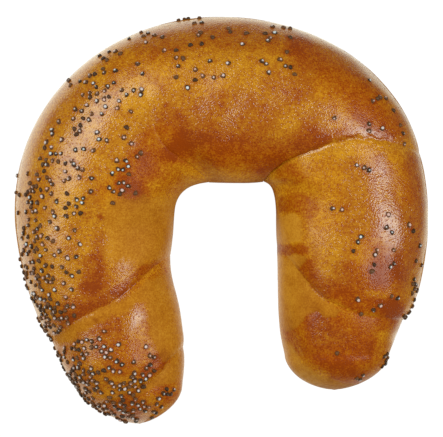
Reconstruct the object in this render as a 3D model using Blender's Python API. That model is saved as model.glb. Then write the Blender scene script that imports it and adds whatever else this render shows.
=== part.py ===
"""A horseshoe-shaped croissant: a rolled crescent of glazed milk-bread dough, with poppy seeds baked on.

Metres, +Z up. It lies on its flat baked base with the gap between its two tips towards -Y. The origin is on the
surface that it lies on, under the middle of its bounding box. Sizes below are in millimetres.
"""

import math

import bmesh
import bpy
import numpy as np

MM = 0.001

# Ribs across the roll, from the left tip round the arch to the right tip: where each meets the plan's inner and
# outer outline, and how high the crown is there. MIDDLE is where the origin is among them.
RIBS = np.array(
    [  # inner x, inner y, outer x, outer y, crown
        (-10.6, -44.6, -38.6, -46.4, 25.0),
        (-9.9, -39.0, -42.3, -41.1, 27.0),
        (-10.0, -33.0, -45.9, -34.3, 28.5),
        (-11.6, -23.0, -49.6, -27.1, 30.5),
        (-13.8, -13.0, -53.6, -14.9, 31.5),
        (-13.3, -4.1, -55.9, -2.7, 32.5),
        (-12.7, 3.2, -55.2, 12.2, 33.5),
        (-10.5, 7.6, -47.3, 31.4, 34.5),
        (-6.0, 9.7, -28.7, 47.9, 35.0),
        (1.1, 10.0, -4.6, 54.8, 35.5),
        (7.6, 10.0, 15.7, 53.0, 35.0),
        (12.4, 9.7, 36.2, 43.6, 34.0),
        (14.1, 6.5, 49.8, 28.4, 33.5),
        (14.6, 1.4, 55.2, 10.8, 33.0),
        (14.6, -5.4, 55.7, -4.1, 32.5),
        (14.9, -13.5, 54.6, -13.5, 31.5),
        (15.1, -21.6, 51.9, -23.0, 30.5),
        (15.7, -29.8, 48.4, -29.2, 28.5),
        (17.0, -36.5, 45.2, -36.5, 25.5),
    ]
)
MIDDLE = np.array((-0.19, -0.14))
LEFT_TIP = np.array((-22.4, -55.3))
RIGHT_TIP = np.array((30.5, -46.1))
LEFT_BLUNTNESS = 1.55
RIGHT_BLUNTNESS = 1.75
"""How round a tip is in plan: 2 is an ellipse, and more is squarer."""

SIDE_LEVEL = 0.42
"""Height of the widest part of a cross-section, as a share of the crown height."""
CROWN_FULLNESS = 2.15
BASE_SHARE = 0.62
"""Width of the flat base, as a share of the roll's width."""
FOOT_ANGLE = math.radians(60)
"""How far each side curls under before it meets the base."""
FOOT_EASE = 17.0
"""How far from a tip, in mm, the base starts to narrow and the sides start to curl further under."""
LEAST_FLATNESS = 0.15
"""What is left of the flat base right at a tip, as a share of its width."""

# Creases where one turn of the rolled dough ends on the next, from the left tip to the right one. Each crosses the
# roll aslant, so it is given at five places from the inner side over the crown to the outer side: its stations, in mm
# along the roll from the first rib, and its depths in mm.
CREASE_ACROSS = np.array((-1.0, -0.5, 0.0, 0.5, 1.0))
CREASE_STATIONS = np.array(
    [
        (11.0, 3.0, -0.4, -2.8, -4.5),
        (36.9, 28.2, 23.4, 20.4, 15.3),
        (88.0, 78.8, 80.8, 82.5, 84.0),
        (120.5, 128.6, 133.6, 137.8, 143.9),
        (161.3, 174.3, 179.0, 181.1, 182.4),
    ]
)
CREASE_DEPTHS = np.array(
    [
        (0.6, 1.0, 0.9, 0.6, 0.3),
        (0.3, 1.6, 1.7, 1.3, 0.8),
        (0.2, 0.6, 0.3, 0.0, 0.0),
        (0.4, 1.3, 1.1, 1.0, 0.4),
        (0.2, 1.4, 1.5, 1.2, 0.7),
    ]
)
BELLY_ROUNDING = 3.5
"""How far from a crease the turn nearer the belly starts to curve down to it, in mm."""
TIP_ROUNDING = 6.0
"""The same for the turn nearer the tip."""
LEAST_RADIUS = 4.0
"""Where a point is nearer to the middle of its cross-section than this, in mm, as at the tips, relief fades out."""
BELLY_STATION = 109.0
"""The middle of the roll's thickest turn: creases before it open towards the left tip, and the others to the right."""

# The unevenness of hand-rolled dough: wavelength along the roll in mm, waves round it, height in mm, and phase.
LUMPS = (
    (61.0, 1, 0.50, 0.4),
    (37.0, -2, 0.35, 2.1),
    (23.0, 1, 0.22, 4.0),
    (16.0, 3, 0.15, 1.2),
)

# Poppy seeds lie in clouds, as they were scattered: station in mm and angle round the roll in degrees of the middle of
# each cloud, its spread along the roll and round it, and how many seeds it has. Most fell on the left leg and on the
# shoulder above it. The arch and the right leg have small groups and strays.
CLOUDS = (
    (-6.0, 86, 2.4, 34, 46),
    (3.5, 24, 5.0, 18, 42),
    (1.3, 90, 2.4, 11, 24),
    (12.0, 8, 9.0, 14, 34),
    (10.9, 44, 3.3, 15, 38),
    (15.7, 64, 1.8, 13, 12),
    (8.6, 83, 1.0, 3, 4),
    (25.0, 32, 4.5, 18, 48),
    (35.0, 37, 5.0, 17, 43),
    (45.0, 44, 5.0, 16, 44),
    (55.0, 50, 5.0, 24, 54),
    (65.0, 55, 5.0, 14, 28),
    (67.0, 103, 4.0, 8, 12),
    (74.0, 53, 4.0, 18, 38),
    (85.0, 48, 5.0, 26, 26),
    (95.0, 45, 5.0, 28, 20),
    (104.0, 38, 2.0, 10, 5),
    (111.5, 64, 2.5, 8, 8),
    (124.0, 39, 3.0, 10, 6),
    (130.0, 76, 0.5, 1, 1),
    (131.5, 32, 1.3, 18, 6),
    (140.0, 72, 1.2, 6, 3),
    (153.0, 100, 1.5, 5, 2),
    (155.0, 70, 3.0, 5, 4),
    (152.5, 41, 2.0, 1, 3),
    (160.5, 84, 1.5, 4, 3),
    (164.0, 68, 1.2, 5, 6),
    (160.0, 24, 2.0, 7, 4),
    (167.5, 19, 1.5, 7, 6),
    (175.5, 60, 2.2, 10, 6),
    (175.0, 9, 2.2, 12, 7),
    (189.0, 88, 0.5, 1, 1),
    (192.5, 36, 2.5, 9, 6),
    (197.5, 40, 1.0, 11, 3),
)
SCATTER = 98
"""Seed of the random numbers that place the poppy seeds."""
SEED_LENGTHS = (1.2, 1.5)
SEED_WIDTH = 0.78
"""Width of a seed as a share of its length, and the same for its thickness."""
SEED_THICKNESS = 0.7
SEED_BEND = 0.16
"""How far the ends of a seed curve to one side, as a share of its length: it is kidney-shaped."""
SEED_SIDES = 7
SEED_RINGS = ((0.82, 0.4), (0.97, -1.0))
"""Size and level of the two rings of corners under a seed's top, with its length as 2. The lower one is sunk in the
crust."""
SEED_LIFT = 0.18
"""Height of a seed's middle above the crust, in mm."""
SEED_GAP = 1.2
"""Least distance between the middles of two seeds, in mm."""
CLUMP_SEEDS = 2.2
"""How many seeds a clump has on average: they fall in twos and threes."""
CLUMP_SPREAD = 1.5
"""How far seeds lie from the middle of their clump, in mm."""
CRUST_RADIUS = 19.0
"""Radius of the roll's cross-section, in mm, where only a rough one is needed."""
SEEDED_ANGLES = (math.radians(-42), math.radians(150))
"""Between which angles round the roll seeds lie, as they fell from above."""
TIP_CLEARANCE = 1.0
"""Least distance from a seed to a tip, in mm."""
DRAWS = 8
"""Places drawn for each seed of a cloud, as some are too close to another seed or on a bare strip."""
BARE_STRIPS = ((4.0, 112), (5.0, 12), (0.0, 0), (5.0, 35), (5.0, 30))
"""The strip beside each crease that the oven opened after the seeds were scattered: its width in mm, and the angle
round the roll, in degrees, where it ends on the outer side."""
SEEDS_FUSED = 212
"""How many of the scattered seeds, the longest first, are part of the solid."""
FUSED_GAP = 1.9
"""Least distance between the middles of two seeds that are part of the solid, in mm."""

RING_GAP = 2.9
"""Distance between the rings of vertices along the roll, in mm."""
LEAST_RINGS = 7
"""How many rings there are at least from one crease, or tip, to the next."""
CROWN_STEPS = 18
FOOT_STEPS = 4


def natural_spline(knots, values):
    """A curve with smooth curvature through the rows of values at knots, as a function that holds its end values."""
    gaps = np.diff(knots)
    slopes = np.diff(values, axis=0) / gaps[:, None]
    system = np.eye(len(knots))
    bending = np.zeros_like(values)
    for i in range(1, len(knots) - 1):
        system[i, i - 1 : i + 2] = gaps[i - 1], 2 * (gaps[i - 1] + gaps[i]), gaps[i]
        bending[i] = 6 * (slopes[i] - slopes[i - 1])
    bends = np.linalg.solve(system, bending)

    def at(position):
        position = np.clip(position, knots[0], knots[-1])
        i = np.clip(np.searchsorted(knots, position) - 1, 0, len(gaps) - 1)
        before = ((knots[i + 1] - position) / gaps[i])[..., None]
        after = 1 - before
        curved = (before**3 - before) * bends[i] + (after**3 - after) * bends[i + 1]
        return before * values[i] + after * values[i + 1] + curved * gaps[i, None] ** 2 / 6

    return at


def smoothstep(low, high, x):
    share = np.clip((x - low) / (high - low), 0, 1)
    return share * share * (3 - 2 * share)


RIB_MIDDLES = (RIBS[:, 0:2] + RIBS[:, 2:4]) / 2
STATIONS = np.concatenate([[0], np.cumsum(np.linalg.norm(np.diff(RIB_MIDDLES, axis=0), axis=1))])
LEFT_CAP = np.linalg.norm(LEFT_TIP - RIB_MIDDLES[0])
RIGHT_CAP = np.linalg.norm(RIGHT_TIP - RIB_MIDDLES[-1])
FIRST, LAST = -LEFT_CAP, STATIONS[-1] + RIGHT_CAP
rib_at = natural_spline(STATIONS, RIBS)

# Rings of the surface lean with the creases: at each place across the roll, this far along it from their crown.
CREASE_CROWNS = CREASE_STATIONS[:, 2]
LEANS = CREASE_STATIONS - CREASE_CROWNS[:, None]
lean_at = natural_spline(
    np.concatenate([[FIRST], CREASE_CROWNS, [LAST]]), np.vstack([[0] * 5, LEANS, [0] * 5])
)
places_at = natural_spline(CREASE_ACROSS, np.eye(5))
"""How much a point across the roll takes from each of the five places."""


def across_and_level(angle, flatness=1.0):
    """Where a point round the roll lies in its cross-section: from -1 on the inner side to 1 on the outer, and from
    -1 at the base through 0 at the widest part to 1 at the crown. Angle 0 is the outer side, and pi the inner.
    With a flatness of 0 there is no flat base, and the sides curl all the way under."""
    rise = np.sin(angle)
    run = np.cos(angle)
    crown_across = np.sign(run) * np.abs(run) ** (2 / CROWN_FULLNESS)
    crown_level = np.maximum(rise, 0) ** (2 / CROWN_FULLNESS)
    last_curl = math.pi / 2 - (math.pi / 2 - FOOT_ANGLE) * flatness
    curl = np.arcsin(np.clip(-rise, 0, math.sin(FOOT_ANGLE))) / FOOT_ANGLE * last_curl
    under = (np.cos(curl) - np.cos(last_curl)) / (1 - np.cos(last_curl))
    base_share = BASE_SHARE * flatness
    foot_across = np.sign(run) * (base_share + (1 - base_share) * under)
    foot_level = -np.sin(curl) / np.sin(last_curl)
    above = rise >= 0
    return np.where(above, crown_across, foot_across), np.where(above, crown_level, foot_level)


def relief(turn, angle, across, level):
    """How far the surface stands out from the plain roll, in mm."""
    height = np.zeros(np.broadcast(turn, angle).shape)
    for wavelength, waves, tall, phase in LUMPS:
        height = height + tall * np.sin(math.tau * turn / wavelength + waves * angle + phase)
    height = height * smoothstep(0.0, 0.7, level)
    for crown, depths in zip(CREASE_CROWNS, CREASE_DEPTHS):
        towards_tip = (turn - crown) * (1 if crown > BELLY_STATION else -1)
        reach = np.where(towards_tip > 0, TIP_ROUNDING, BELLY_ROUNDING)
        height = height - places_at(across) @ depths * np.exp(-np.abs(towards_tip) / reach)
    return height * smoothstep(-0.9, 0.0, level)


def surface(turn, angle):
    """Points on the crust in mm. turn is the station at the crown of the ring that a point is on."""
    eased = smoothstep(0, FOOT_EASE, np.minimum(turn - FIRST, LAST - turn))
    across, level = across_and_level(angle, LEAST_FLATNESS + (1 - LEAST_FLATNESS) * eased)
    station = turn + np.sum(lean_at(turn) * places_at(across), axis=-1)
    rib = rib_at(station)
    beyond = np.where(station < 0, -station / LEFT_CAP, (station - STATIONS[-1]) / RIGHT_CAP)
    beyond = np.clip(beyond, 0, 1)
    bluntness = np.where(station < 0, LEFT_BLUNTNESS, RIGHT_BLUNTNESS)
    fullness = (1 - beyond**bluntness) ** (1 / bluntness)
    tip = np.where((station < 0)[..., None], LEFT_TIP, RIGHT_TIP)
    middle = (rib[..., 0:2] + rib[..., 2:4]) / 2
    middle = middle + (tip - middle) * beyond[..., None]
    half = (rib[..., 2:4] - rib[..., 0:2]) / 2 * fullness[..., None]
    side_height = SIDE_LEVEL * rib[..., 4]
    rise = np.where(level > 0, rib[..., 4] - side_height, side_height) * level * fullness
    radius = np.hypot(np.linalg.norm(half, axis=-1) * across, rise)
    swell = 1 + relief(turn, angle, across, level) / np.maximum(radius, LEAST_RADIUS)
    plan = middle + half * (across * swell)[..., None] - MIDDLE
    height = side_height + rise * swell
    return np.concatenate([plan, np.maximum(height, 0)[..., None]], axis=-1)


def ring_turns():
    """Where the rings are along the roll: one on every crease, and closer together next to it and at the tips."""
    stops = [FIRST, *CREASE_CROWNS, LAST]
    turns = [FIRST]
    for start, end in zip(stops, stops[1:]):
        count = max(LEAST_RINGS, round((end - start) / RING_GAP))
        even = np.arange(1, count + 1) / count
        if start == FIRST:
            eased = 1 - np.cos(even * math.pi / 2)
        elif end == LAST:
            eased = np.sin(even * math.pi / 2)
        else:
            eased = (even + (1 - np.cos(math.pi * even)) / 2) / 2
        turns.extend(start + (end - start) * eased)
    return np.array(turns)


def ring_angles():
    """Angles of the points round a ring, from one edge of the base over the crown to the other."""
    foot = np.linspace(-FOOT_ANGLE, 0, FOOT_STEPS + 1)[:-1]
    crown = np.linspace(0, math.pi, CROWN_STEPS + 1)
    return np.concatenate([foot, crown, math.pi - foot[::-1]])


def on_bare_strip(turn, angle):
    """Whether points lie beside a crease, on the side nearer the tip."""
    bare = np.zeros(turn.shape, bool)
    for crown, (width, end) in zip(CREASE_CROWNS, BARE_STRIPS):
        towards_tip = (turn - crown) * (1 if crown > BELLY_STATION else -1)
        bare |= (towards_tip > 0) & (towards_tip < width) & (angle > math.radians(end))
    return bare


def scattered_seeds():
    """Turn, angle, heading and length of every poppy seed, the longest first."""
    chance = np.random.RandomState(SCATTER)
    seeds = []
    middles = np.empty((0, 3))
    for station, degrees, along, around, count in CLOUDS:
        clumps = chance.normal((station, degrees), (along, around), (math.ceil(count / CLUMP_SEEDS), 2))
        clump_turns, clump_degrees = clumps[chance.randint(len(clumps), size=DRAWS * count)].T
        turns = clump_turns + chance.normal(0, CLUMP_SPREAD, DRAWS * count)
        angles = np.radians(clump_degrees) + chance.normal(0, CLUMP_SPREAD / CRUST_RADIUS, DRAWS * count)
        headings = chance.uniform(0, math.tau, DRAWS * count)
        lengths = chance.uniform(*SEED_LENGTHS, DRAWS * count)
        fits = (turns > FIRST + TIP_CLEARANCE) & (turns < LAST - TIP_CLEARANCE)
        fits &= (angles > SEEDED_ANGLES[0]) & (angles < SEEDED_ANGLES[1])
        fits &= ~on_bare_strip(turns, angles)
        points = surface(turns, angles)
        placed = 0
        for i in np.flatnonzero(fits):
            if placed == count:
                break
            if np.all(np.linalg.norm(middles - points[i], axis=1) > SEED_GAP):
                middles = np.vstack([middles, points[i]])
                seeds.append((turns[i], angles[i], headings[i], lengths[i]))
                placed += 1
    return sorted(seeds, key=lambda seed: -seed[3])


def fused_seeds():
    """The seeds that are part of the solid: the longest that are clear of each other."""
    chosen = []
    middles = np.empty((0, 3))
    for turn, angle, heading, length in scattered_seeds():
        middle = surface(np.array(turn), np.array(angle))
        if len(chosen) < SEEDS_FUSED and np.all(np.linalg.norm(middles - middle, axis=1) > FUSED_GAP):
            middles = np.vstack([middles, middle])
            chosen.append((turn, angle, heading, length))
    return chosen


def seed_corners():
    """Corners of a kidney-shaped seed as long as 2: its top, and then two rings."""
    turns = np.arange(SEED_SIDES) * math.tau / SEED_SIDES
    outline = np.column_stack([np.cos(turns), SEED_WIDTH * np.sin(turns) - SEED_BEND * np.cos(2 * turns)])
    rings = [np.column_stack([outline * size, np.full(SEED_SIDES, level)]) for size, level in SEED_RINGS]
    return np.vstack([[(0, 0, SEED_THICKNESS)], *rings])


def laid_on_crust(corners, turn, angle, heading, length):
    """Points in mm of a seed with these corners that lies flat on the crust."""
    step = 0.01
    turns = turn + np.array([1, -1, 0, 0]) * step
    angles = angle + np.array([0, 0, 1, -1]) * step
    ahead, behind, above, below = surface(turns, angles)
    normal = np.cross(above - below, ahead - behind)
    normal /= np.linalg.norm(normal)
    side = np.cross(normal, ahead - behind)
    side /= np.linalg.norm(side)
    forward = np.cross(side, normal)
    long_axis = math.cos(heading) * forward + math.sin(heading) * side
    axes = np.array([long_axis, np.cross(normal, long_axis), normal])
    return surface(np.array(turn), np.array(angle)) + corners * length / 2 @ axes + SEED_LIFT * normal


def crust_mesh():
    """The whole roll as one closed mesh: rings joined by quads, and a fan at each tip."""
    angles = ring_angles()
    turns = ring_turns()
    points = surface(turns[1:-1, None], angles[None, :]) * MM
    mesh = bmesh.new()
    rings = [[mesh.verts.new(point) for point in ring] for ring in points]
    for ring, following in zip(rings, rings[1:]):
        for j in range(len(angles)):
            k = (j + 1) % len(angles)
            mesh.faces.new((ring[j], ring[k], following[k], following[j]))
    for turn, ring in ((turns[0], rings[0]), (turns[-1], rings[-1][::-1])):
        tip = mesh.verts.new(surface(np.array(turn), np.array(0.0)) * MM)
        for j in range(len(angles)):
            mesh.faces.new((ring[(j + 1) % len(angles)], ring[j], tip))
    bmesh.ops.triangulate(mesh, faces=mesh.faces)
    bmesh.ops.recalc_face_normals(mesh, faces=mesh.faces)
    made = bpy.data.meshes.new("croissant")
    mesh.to_mesh(made)
    mesh.free()
    return made


def fuse_seeds(croissant):
    """Joins the longest poppy seeds to the crust, as one solid."""
    seeds = bpy.data.collections.new("poppy_seeds")
    bpy.context.scene.collection.children.link(seeds)
    upper, lower = 1, 1 + SEED_SIDES
    faces = [list(range(lower + SEED_SIDES - 1, lower - 1, -1))]
    for j in range(SEED_SIDES):
        k = (j + 1) % SEED_SIDES
        faces += [(0, upper + j, upper + k), (upper + k, upper + j, lower + j, lower + k)]
    for place in fused_seeds():
        mesh = bpy.data.meshes.new("poppy_seed")
        mesh.from_pydata((laid_on_crust(seed_corners(), *place) * MM).tolist(), [], faces)
        seeds.objects.link(bpy.data.objects.new("poppy_seed", mesh))
    union = croissant.modifiers.new("seeds", "BOOLEAN")
    union.operation = "UNION"
    union.operand_type = "COLLECTION"
    union.collection = seeds
    union.solver = "EXACT"
    bpy.context.view_layer.objects.active = croissant
    bpy.ops.object.modifier_apply(modifier=union.name)
    for seed in list(seeds.objects):
        bpy.data.objects.remove(seed, do_unlink=True)
    bpy.data.collections.remove(seeds)


def keep_largest_piece(mesh):
    """Drops any scrap that isn't connected to the crust, and triangulates the rest."""
    whole = bmesh.new()
    whole.from_mesh(mesh)
    unseen = set(whole.verts)
    pieces = []
    while unseen:
        front = [unseen.pop()]
        piece = list(front)
        while front:
            vert = front.pop()
            for edge in vert.link_edges:
                other = edge.other_vert(vert)
                if other in unseen:
                    unseen.remove(other)
                    front.append(other)
                    piece.append(other)
        pieces.append(piece)
    pieces.sort(key=len)
    for scrap in pieces[:-1]:
        bmesh.ops.delete(whole, geom=scrap, context="VERTS")
    bmesh.ops.triangulate(whole, faces=whole.faces)
    whole.to_mesh(mesh)
    whole.free()


def crust_material():
    material = bpy.data.materials.new("glazed_crust")
    material.use_nodes = True
    shader = material.node_tree.nodes["Principled BSDF"]
    shader.inputs["Base Color"].default_value = (0.44, 0.16, 0.02, 1)
    shader.inputs["Roughness"].default_value = 0.3
    shader.inputs["Metallic"].default_value = 0.0
    return material


def main():
    for old in list(bpy.data.objects):
        bpy.data.objects.remove(old, do_unlink=True)
    croissant = bpy.data.objects.new("croissant", crust_mesh())
    croissant.data.materials.append(crust_material())
    bpy.context.scene.collection.objects.link(croissant)
    fuse_seeds(croissant)
    keep_largest_piece(croissant.data)
    croissant.data.shade_smooth()


main()
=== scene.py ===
"""Looks of the horseshoe-shaped croissant: its egg-glazed crust and poppy seeds, in place of the solid.

Blender's metres and +Z up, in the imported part's own frame. Lengths and places below are in mm, unless said
otherwise. The crust has the solid's ribs, creases and seed clouds, and adds low relief and colours.
"""

import itertools
from math import ceil, cos, pi, radians, sin, tau

import bpy
import numpy as np
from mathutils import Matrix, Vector
from mathutils.kdtree import KDTree
from numpy.linalg import norm


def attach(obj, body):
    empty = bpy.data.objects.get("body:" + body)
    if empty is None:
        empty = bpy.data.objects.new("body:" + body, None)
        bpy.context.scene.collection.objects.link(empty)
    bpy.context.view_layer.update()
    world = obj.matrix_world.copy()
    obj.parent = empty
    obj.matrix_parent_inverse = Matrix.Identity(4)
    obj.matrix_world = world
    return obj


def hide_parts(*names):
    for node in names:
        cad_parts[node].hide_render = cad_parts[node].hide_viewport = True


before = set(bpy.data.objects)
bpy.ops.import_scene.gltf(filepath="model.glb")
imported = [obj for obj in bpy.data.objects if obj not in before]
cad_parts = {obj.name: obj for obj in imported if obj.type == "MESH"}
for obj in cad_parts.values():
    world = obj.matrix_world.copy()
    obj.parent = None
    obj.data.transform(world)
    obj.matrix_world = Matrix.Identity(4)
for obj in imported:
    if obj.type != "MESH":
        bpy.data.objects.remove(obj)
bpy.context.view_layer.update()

MM = 0.001
NODE = "croissant"

# The roll's form, as in the solid.

# Ribs across the roll, from the left tip round the arch to the right tip: where each meets the plan's inner
# and outer outline, and how high the crown is there. MIDDLE is where the origin is among them.
RIBS = np.array([  # inner x, inner y, outer x, outer y, crown
    (-10.6, -44.6, -38.6, -46.4, 25),
    (-9.9, -39, -42.3, -41.1, 27),
    (-10, -33, -45.9, -34.3, 28.5),
    (-11.6, -23, -49.6, -27.1, 30.5),
    (-13.8, -13, -53.6, -14.9, 31.5),
    (-13.3, -4.1, -55.9, -2.7, 32.5),
    (-12.7, 3.2, -55.2, 12.2, 33.5),
    (-10.5, 7.6, -47.3, 31.4, 34.5),
    (-6, 9.7, -28.7, 47.9, 35),
    (1.1, 10, -4.6, 54.8, 35.5),
    (7.6, 10, 15.7, 53, 35),
    (12.4, 9.7, 36.2, 43.6, 34),
    (14.1, 6.5, 49.8, 28.4, 33.5),
    (14.6, 1.4, 55.2, 10.8, 33),
    (14.6, -5.4, 55.7, -4.1, 32.5),
    (14.9, -13.5, 54.6, -13.5, 31.5),
    (15.1, -21.6, 51.9, -23, 30.5),
    (15.7, -29.8, 48.4, -29.2, 28.5),
    (17, -36.5, 45.2, -36.5, 25.5),
])
MIDDLE = np.array((-0.19, -0.14))
LEFT_TIP = np.array((-22.4, -55.3))
RIGHT_TIP = np.array((30.5, -46.1))
LEFT_BLUNTNESS = 1.55
RIGHT_BLUNTNESS = 1.75
"""How blunt each tip is in plan: 2 is an ellipse, more is squarer, and less is more pointed."""

SIDE_LEVEL = 0.42
"""Height of the widest part of a cross-section, as a share of the crown height."""
CROWN_FULLNESS = 2.15
"""How full a cross-section is above that: 2 is an ellipse, and more is squarer."""
BASE_SHARE = 0.62
"""Width of the flat base, as a share of the roll's width."""
FOOT_ANGLE = radians(60)
"""How far each side curls under before it meets the base."""
FOOT_EASE = 17.0
"""How far from a tip the base starts to narrow and the sides start to curl further under."""
LEAST_FLATNESS = 0.15
"""What is left of the flat base right at a tip, as a share of its width."""

# Creases where one turn of the rolled dough ends on the next, from the left tip to the right one. Each
# crosses the roll aslant, so it is given at five places from the inner side over the crown to the outer
# side: its stations, or lengths along the roll from the first rib, and its depths.
CREASE_ACROSS = np.array((-1.0, -0.5, 0.0, 0.5, 1.0))
CREASE_STATIONS = np.array([
    (11, 3, -0.4, -2.8, -4.5),
    (36.9, 28.2, 23.4, 20.4, 15.3),
    (88, 78.8, 80.8, 82.5, 84),
    (120.5, 128.6, 133.6, 137.8, 143.9),
    (161.3, 174.3, 179, 181.1, 182.4),
])
CREASE_DEPTHS = np.array([
    (0.6, 1.0, 0.9, 0.6, 0.3),
    (0.3, 1.6, 1.7, 1.3, 0.8),
    (0.2, 0.6, 0.3, 0.0, 0.0),
    (0.4, 1.3, 1.1, 1.0, 0.4),
    (0.2, 1.4, 1.5, 1.2, 0.7),
])
BELLY_ROUNDING = 3.5
"""How far from a crease the turn nearer the belly starts to curve down to it."""
TIP_ROUNDING = 6.0
"""The same for the turn nearer the tip."""
LEAST_RADIUS = 4.0
"""Nearer than this to the middle of its cross-section, as at the tips, a point's relief fades out."""
BELLY_STATION = 109.0
"""The middle of the thickest turn, the belly. Creases before it open to the left tip, others to the right."""

# The unevenness of hand-rolled dough: wavelength along the roll, waves round it, height and phase.
LUMPS = (
    (61.0, 1, 0.50, 0.4),
    (37.0, -2, 0.35, 2.1),
    (23.0, 1, 0.22, 4.0),
    (16.0, 3, 0.15, 1.2),
)
LUMPS_LEVELS = (0.0, 0.7)
"""Between these levels lumps grow to their full height: -1 is the base, 0 the widest part and 1 the crown.
The same for lumps and creases together, and for low relief."""
RELIEF_LEVELS = (-0.9, 0.0)
LOW_RELIEF_LEVELS = (-0.9, -0.2)

# Poppy seeds lie in clouds, as they were scattered, most of them on the left leg and the shoulder above it:
# station of a cloud's middle, its angle round the roll in degrees, its spread along the roll and round it,
# and how many seeds it has.
CLOUDS = (
    (-6, 86, 2.4, 34, 46),
    (3.5, 24, 5, 18, 42),
    (1.3, 90, 2.4, 11, 24),
    (12, 8, 9, 14, 34),
    (10.9, 44, 3.3, 15, 38),
    (15.7, 64, 1.8, 13, 12),
    (8.6, 83, 1, 3, 4),
    (25, 32, 4.5, 18, 48),
    (35, 37, 5, 17, 43),
    (45, 44, 5, 16, 44),
    (55, 50, 5, 24, 54),
    (65, 55, 5, 14, 28),
    (67, 103, 4, 8, 12),
    (74, 53, 4, 18, 38),
    (85, 48, 5, 26, 26),
    (95, 45, 5, 28, 20),
    (104, 38, 2, 10, 5),
    (111.5, 64, 2.5, 8, 8),
    (124, 39, 3, 10, 6),
    (130, 76, 0.5, 1, 1),
    (131.5, 32, 1.3, 18, 6),
    (140, 72, 1.2, 6, 3),
    (153, 100, 1.5, 5, 2),
    (155, 70, 3, 5, 4),
    (152.5, 41, 2, 1, 3),
    (160.5, 84, 1.5, 4, 3),
    (164, 68, 1.2, 5, 6),
    (160, 24, 2, 7, 4),
    (167.5, 19, 1.5, 7, 6),
    (175.5, 60, 2.2, 10, 6),
    (175, 9, 2.2, 12, 7),
    (189, 88, 0.5, 1, 1),
    (192.5, 36, 2.5, 9, 6),
    (197.5, 40, 1, 11, 3),
)
SCATTER = 98
"""Seed of the random numbers that place the poppy seeds."""
SEED_LENGTHS = (1.2, 1.5)
"""The shortest and the longest seed."""
SEED_WIDTH = 0.78
"""Width of a seed as a share of its length, and the same for its thickness."""
SEED_THICKNESS = 0.7
SEED_BEND = 0.16
"""How far the ends of a seed curve to one side, as a share of its length: it is kidney-shaped."""
SEED_LIFT = 0.18
"""Height of a seed's middle above the crust."""
SEED_GAP = 1.2
"""Least distance between the middles of two seeds."""
CLUMP_SEEDS = 2.2
"""How many seeds a clump has on average: they fall in twos and threes."""
CLUMP_SPREAD = 1.5
"""How far seeds lie from the middle of their clump."""
CRUST_RADIUS = 19.0
"""Radius of the roll's cross-section, where only a rough one is needed."""
SEEDED_ANGLES = np.radians((-42, 150))
"""Between which angles round the roll seeds lie, as they fell from above."""
TIP_CLEARANCE = 1.0
"""Least distance from a seed to a tip."""
DRAWS = 8
"""Places drawn for each seed of a cloud, as some are too close to another seed or on a bare strip."""
BARE_STRIPS = ((4.0, 112), (5.0, 12), (0.0, 0), (5.0, 35), (5.0, 30))
"""The strip beside each crease that the oven opened after the seeds were scattered: its width, and the angle
round the roll, in degrees, where it ends on the outer side."""

# What the looks add.

RING_GAP = 0.46
"""Distance between the rings of vertices along the roll."""
CROWN_STEPS = 140
"""Steps from point to point over the crown, between the widest parts, and from each of these to the base."""
FOOT_STEPS = 16
BASE_STEPS = 9
"""Points across the flat base, between its edges."""
TIP_STEP = 0.02
"""How far from a tip the direction of the crust is taken for points on the tip itself."""
TINY = 1e-9
"""Nothing is divided by less than this."""

# Random lumps are given in layers. Each has a wavelength, a height and the seed of its random numbers.
DIMPLES = ((11.0, 0.10, 1), (5.0, 0.06, 2), (2.2, 0.02, 3))
GROOVE_WIDTH = 0.45
"""Half-width of the sharp line at the bottom of a crease, and its depth as a share of the crease's."""
GROOVE_DEPTH = 0.3
LIP_OFFSET = 1.5
"""How far the rounded lip beside that line lies from it, on the side nearer the belly, its half-width, and
its height as a share of the crease's depth."""
LIP_WIDTH = 1.1
LIP_HEIGHT = 0.18
SHARPNESS = (1.4, 0.12, 0.7, 0.8, 0.3)
"""How much of that line and lip each crease has: the glaze has softened some."""
CREASE_WANDER = ((6.0, 0.35, 7), (2.0, 0.35, 8), (1.0, 0.15, 9))
"""How a crease's line wanders, in layers as above."""
CRINKLE = ((36.5, 22.6), (43.5, 20.8))
"""The line beside which the belly's edge has crinkled, next to a crease, seen from above."""
CRINKLE_HEIGHT = 0.28
"""Height of the folds there, the distance between two of them, and how far they reach from the line."""
CRINKLE_GAP = 1.3
CRINKLE_REACH = 1.6
CRINKLE_LUMPS = ((2.0, 1.0, 10),)
"""How the folds come and go, as a share of their height."""
MENISCUS_HEIGHT = 0.07
"""How far the glaze rises round a seed, and how far from the seed's middle it has sunk again."""
MENISCUS_REACH = 0.9

# Baking, and a few strokes that are painted highlight or painted shade, as marked. Every crease but the
# shallow third one parts two turns of dough.
TURN_EDGES = (0, 1, 3, 4)
BAKED = (0.50, 0.47, 0.34, 0.33, 0.44)
"""How dark each turn is baked, from 0 to 1, before the strokes below. The first turn is at the left tip."""
UNEVENLY_BAKED = ((8.0, 0.07, 22),)
"""How that varies."""

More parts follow.
